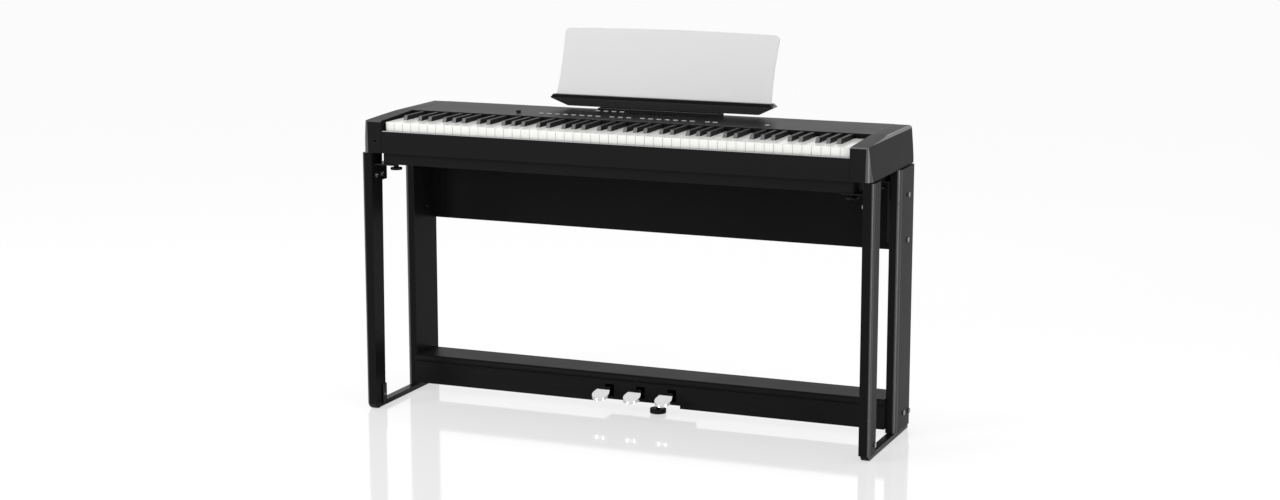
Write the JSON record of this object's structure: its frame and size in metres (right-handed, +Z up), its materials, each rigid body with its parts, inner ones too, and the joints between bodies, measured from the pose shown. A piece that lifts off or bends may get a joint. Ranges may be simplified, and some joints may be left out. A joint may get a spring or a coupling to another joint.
{
  "type": "digital piano on stand",
  "caption": "Digital piano with a full weighted keyboard, clear music rest and headphone sockets, on a panel stand with a three-pedal shelf.",
  "frame": {"origin": "on the floor under the middle of the whole object's box", "axes": "+X along the keyboard towards the treble end, +Y towards the back, +Z up"},
  "size_m": [1.358, 0.437, 0.9698],
  "materials": {
    "stand_board": "satin black foil on board",
    "shelf_board": "dark grey wood-grain foil on board",
    "black_steel": "black powder coat",
    "bolt_steel": "dark zinc",
    "black_plastic": "matte",
    "rubber_pad": "matte",
    "chrome_plate": "polished",
    "case_plastic": "satin black",
    "display_glass": "smoked clear",
    "felt": "pressed felt",
    "rod_steel": "ground",
    "board_laminate": "lacquered",
    "speaker_steel": "black",
    "clear_acrylic": "clear, lightly frosted",
    "grey_plastic": "satin",
    "white_key": "semi-gloss white",
    "black_key": "matte black",
    "hammer_steel": "plain"
  },
  "bodies": {
    "base": {"front_leg_left": "stand_board", "front_leg_right": "stand_board", "rear_leg_left": "stand_board", "rear_leg_right": "stand_board", "foot_rails": "black_steel", "top_brackets": "black_steel", "back_panel": "stand_board", "shelf_top": "shelf_board", "shelf_front": "shelf_board", "pedal_box": "black_plastic", "thumb_screws": "black_plastic", "frame_bolts": "bolt_steel", "floor_glides": "rubber_pad", "bottom_case": "case_plastic", "front_panel": "case_plastic", "end_block_left": "case_plastic", "end_block_right": "case_plastic", "top_cover": "case_plastic", "rear_panel": "case_plastic", "display_window": "display_glass", "key_frame": "black_plastic", "key_felts": "felt", "pivot_rods": "rod_steel", "circuit_boards": "board_laminate", "speakers": "speaker_steel", "headphone_jacks": "black_plastic", "rear_jacks": "black_plastic"},
    "pedal_left_body": {"pedal_left": "chrome_plate"},
    "pedal_middle_body": {"pedal_middle": "chrome_plate"},
    "pedal_right_body": {"pedal_right": "chrome_plate"},
    "pedal_adjuster_body": {"pedal_adjuster": "black_plastic"},
    "volume_slider_body": {"volume_slider": "black_plastic"},
    "power_button_body": {"power_button": "grey_plastic"},
    "panel_buttons_body": {"panel_buttons": "grey_plastic"},
    "music_rest_body": {"music_rest_panel": "clear_acrylic", "music_rest_ledge": "case_plastic"},
    "keys_c_body": {"keys_c": "white_key"},
    "hammers_c_body": {"hammers_c": "hammer_steel"},
    "keys_c_sharp_body": {"keys_c_sharp": "black_key"},
    "hammers_c_sharp_body": {"hammers_c_sharp": "hammer_steel"},
    "keys_d_body": {"keys_d": "white_key"},
    "hammers_d_body": {"hammers_d": "hammer_steel"},
    "keys_d_sharp_body": {"keys_d_sharp": "black_key"},
    "hammers_d_sharp_body": {"hammers_d_sharp": "hammer_steel"},
    "keys_e_body": {"keys_e": "white_key"},
    "hammers_e_body": {"hammers_e": "hammer_steel"},
    "keys_f_body": {"keys_f": "white_key"},
    "hammers_f_body": {"hammers_f": "hammer_steel"},
    "keys_f_sharp_body": {"keys_f_sharp": "black_key"},
    "hammers_f_sharp_body": {"hammers_f_sharp": "hammer_steel"},
    "keys_g_body": {"keys_g": "white_key"},
    "hammers_g_body": {"hammers_g": "hammer_steel"},
    "keys_g_sharp_body": {"keys_g_sharp": "black_key"},
    "hammers_g_sharp_body": {"hammers_g_sharp": "hammer_steel"},
    "keys_a_body": {"keys_a": "white_key"},
    "hammers_a_body": {"hammers_a": "hammer_steel"},
    "keys_a_sharp_body": {"keys_a_sharp": "black_key"},
    "hammers_a_sharp_body": {"hammers_a_sharp": "hammer_steel"},
    "keys_b_body": {"keys_b": "white_key"},
    "hammers_b_body": {"hammers_b": "hammer_steel"}
  },
  "joints": [
    {"name": "keys_c_press", "type": "hinge", "parent": "base", "child": "keys_c_body", "pos_m": [0, 0.08103, 0.736], "axis": [1, 0, 0], "range_deg": [0, 2.02], "stiffness_Nm_per_rad": 180, "springref_deg": -5.16},
    {"name": "keys_c_sharp_press", "type": "hinge", "parent": "base", "child": "keys_c_sharp_body", "pos_m": [0, 0.08103, 0.736], "axis": [1, 0, 0], "range_deg": [0, 2.02], "stiffness_Nm_per_rad": 180, "springref_deg": -5.16},
    {"name": "keys_d_press", "type": "hinge", "parent": "base", "child": "keys_d_body", "pos_m": [0, 0.08103, 0.736], "axis": [1, 0, 0], "range_deg": [0, 2.02], "stiffness_Nm_per_rad": 180, "springref_deg": -5.16},
    {"name": "keys_d_sharp_press", "type": "hinge", "parent": "base", "child": "keys_d_sharp_body", "pos_m": [0, 0.08103, 0.736], "axis": [1, 0, 0], "range_deg": [0, 2.02], "stiffness_Nm_per_rad": 180, "springref_deg": -5.16},
    {"name": "keys_e_press", "type": "hinge", "parent": "base", "child": "keys_e_body", "pos_m": [0, 0.08103, 0.736], "axis": [1, 0, 0], "range_deg": [0, 2.02], "stiffness_Nm_per_rad": 180, "springref_deg": -5.16},
    {"name": "keys_f_press", "type": "hinge", "parent": "base", "child": "keys_f_body", "pos_m": [0, 0.08103, 0.736], "axis": [1, 0, 0], "range_deg": [0, 2.02], "stiffness_Nm_per_rad": 180, "springref_deg": -5.16},
    {"name": "keys_f_sharp_press", "type": "hinge", "parent": "base", "child": "keys_f_sharp_body", "pos_m": [0, 0.08103, 0.736], "axis": [1, 0, 0], "range_deg": [0, 2.02], "stiffness_Nm_per_rad": 180, "springref_deg": -5.16},
    {"name": "keys_g_press", "type": "hinge", "parent": "base", "child": "keys_g_body", "pos_m": [0, 0.08103, 0.736], "axis": [1, 0, 0], "range_deg": [0, 2.02], "stiffness_Nm_per_rad": 180, "springref_deg": -5.16},
    {"name": "keys_g_sharp_press", "type": "hinge", "parent": "base", "child": "keys_g_sharp_body", "pos_m": [0, 0.08103, 0.736], "axis": [1, 0, 0], "range_deg": [0, 2.02], "stiffness_Nm_per_rad": 180, "springref_deg": -5.16},
    {"name": "keys_a_press", "type": "hinge", "parent": "base", "child": "keys_a_body", "pos_m": [0, 0.08103, 0.736], "axis": [1, 0, 0], "range_deg": [0, 2.02], "stiffness_Nm_per_rad": 180, "springref_deg": -5.16},
    {"name": "keys_a_sharp_press", "type": "hinge", "parent": "base", "child": "keys_a_sharp_body", "pos_m": [0, 0.08103, 0.736], "axis": [1, 0, 0], "range_deg": [0, 2.02], "stiffness_Nm_per_rad": 180, "springref_deg": -5.16},
    {"name": "keys_b_press", "type": "hinge", "parent": "base", "child": "keys_b_body", "pos_m": [0, 0.08103, 0.736], "axis": [1, 0, 0], "range_deg": [0, 2.02], "stiffness_Nm_per_rad": 180, "springref_deg": -5.16},
    {"name": "hammers_c_swing", "type": "hinge", "parent": "base", "child": "hammers_c_body", "pos_m": [0, -0.08897, 0.7], "axis": [1, 0, 0], "range_deg": [0, 8.6]},
    {"name": "hammers_c_sharp_swing", "type": "hinge", "parent": "base", "child": "hammers_c_sharp_body", "pos_m": [0, -0.08897, 0.7], "axis": [1, 0, 0], "range_deg": [0, 8.6]},
    {"name": "hammers_d_swing", "type": "hinge", "parent": "base", "child": "hammers_d_body", "pos_m": [0, -0.08897, 0.7], "axis": [1, 0, 0], "range_deg": [0, 8.6]},
    {"name": "hammers_d_sharp_swing", "type": "hinge", "parent": "base", "child": "hammers_d_sharp_body", "pos_m": [0, -0.08897, 0.7], "axis": [1, 0, 0], "range_deg": [0, 8.6]},
    {"name": "hammers_e_swing", "type": "hinge", "parent": "base", "child": "hammers_e_body", "pos_m": [0, -0.08897, 0.7], "axis": [1, 0, 0], "range_deg": [0, 8.6]},
    {"name": "hammers_f_swing", "type": "hinge", "parent": "base", "child": "hammers_f_body", "pos_m": [0, -0.08897, 0.7], "axis": [1, 0, 0], "range_deg": [0, 8.6]},
    {"name": "hammers_f_sharp_swing", "type": "hinge", "parent": "base", "child": "hammers_f_sharp_body", "pos_m": [0, -0.08897, 0.7], "axis": [1, 0, 0], "range_deg": [0, 8.6]},
    {"name": "hammers_g_swing", "type": "hinge", "parent": "base", "child": "hammers_g_body", "pos_m": [0, -0.08897, 0.7], "axis": [1, 0, 0], "range_deg": [0, 8.6]},
    {"name": "hammers_g_sharp_swing", "type": "hinge", "parent": "base", "child": "hammers_g_sharp_body", "pos_m": [0, -0.08897, 0.7], "axis": [1, 0, 0], "range_deg": [0, 8.6]},
    {"name": "hammers_a_swing", "type": "hinge", "parent": "base", "child": "hammers_a_body", "pos_m": [0, -0.08897, 0.7], "axis": [1, 0, 0], "range_deg": [0, 8.6]},
    {"name": "hammers_a_sharp_swing", "type": "hinge", "parent": "base", "child": "hammers_a_sharp_body", "pos_m": [0, -0.08897, 0.7], "axis": [1, 0, 0], "range_deg": [0, 8.6]},
    {"name": "hammers_b_swing", "type": "hinge", "parent": "base", "child": "hammers_b_body", "pos_m": [0, -0.08897, 0.7], "axis": [1, 0, 0], "range_deg": [0, 8.6]},
    {"name": "pedal_left_press", "type": "hinge", "parent": "base", "child": "pedal_left_body", "pos_m": [0, 0.07353, 0.064], "axis": [1, 0, 0], "range_deg": [0, 8], "stiffness_Nm_per_rad": 20, "springref_deg": -6.88},
    {"name": "pedal_middle_press", "type": "hinge", "parent": "base", "child": "pedal_middle_body", "pos_m": [0, 0.07353, 0.064], "axis": [1, 0, 0], "range_deg": [0, 8], "stiffness_Nm_per_rad": 20, "springref_deg": -6.88},
    {"name": "pedal_right_press", "type": "hinge", "parent": "base", "child": "pedal_right_body", "pos_m": [0, 0.07353, 0.064], "axis": [1, 0, 0], "range_deg": [0, 8], "stiffness_Nm_per_rad": 20, "springref_deg": -6.88},
    {"name": "adjuster_turn_up", "type": "slide", "parent": "base", "child": "pedal_adjuster_body", "axis": [0, 0, 1], "range_m": [0, 0.01]},
    {"name": "music_rest_lift", "type": "slide", "parent": "base", "child": "music_rest_body", "axis": [0, 0, 1], "range_m": [0, 0.03]},
    {"name": "volume_slide", "type": "slide", "parent": "base", "child": "volume_slider_body", "axis": [1, 0, 0], "range_m": [0, 0.026]},
    {"name": "power_press", "type": "slide", "parent": "base", "child": "power_button_body", "axis": [0, 0, -1], "range_m": [0, 0.0012], "stiffness_N_per_m": 900, "springref_m": -0.001},
    {"name": "panel_buttons_press", "type": "slide", "parent": "base", "child": "panel_buttons_body", "axis": [0, 0, -1], "range_m": [0, 0.0012], "stiffness_N_per_m": 1500, "springref_m": -0.001}
  ],
  "couplings": [
    {"joint": "hammers_c_swing", "follows": "keys_c_press", "ratio": 4.1},
    {"joint": "hammers_c_sharp_swing", "follows": "keys_c_sharp_press", "ratio": 4.1},
    {"joint": "hammers_d_swing", "follows": "keys_d_press", "ratio": 4.1},
    {"joint": "hammers_d_sharp_swing", "follows": "keys_d_sharp_press", "ratio": 4.1},
    {"joint": "hammers_e_swing", "follows": "keys_e_press", "ratio": 4.1},
    {"joint": "hammers_f_swing", "follows": "keys_f_press", "ratio": 4.1},
    {"joint": "hammers_f_sharp_swing", "follows": "keys_f_sharp_press", "ratio": 4.1},
    {"joint": "hammers_g_swing", "follows": "keys_g_press", "ratio": 4.1},
    {"joint": "hammers_g_sharp_swing", "follows": "keys_g_sharp_press", "ratio": 4.1},
    {"joint": "hammers_a_swing", "follows": "keys_a_press", "ratio": 4.1},
    {"joint": "hammers_a_sharp_swing", "follows": "keys_a_sharp_press", "ratio": 4.1},
    {"joint": "hammers_b_swing", "follows": "keys_b_press", "ratio": 4.1}
  ]
}
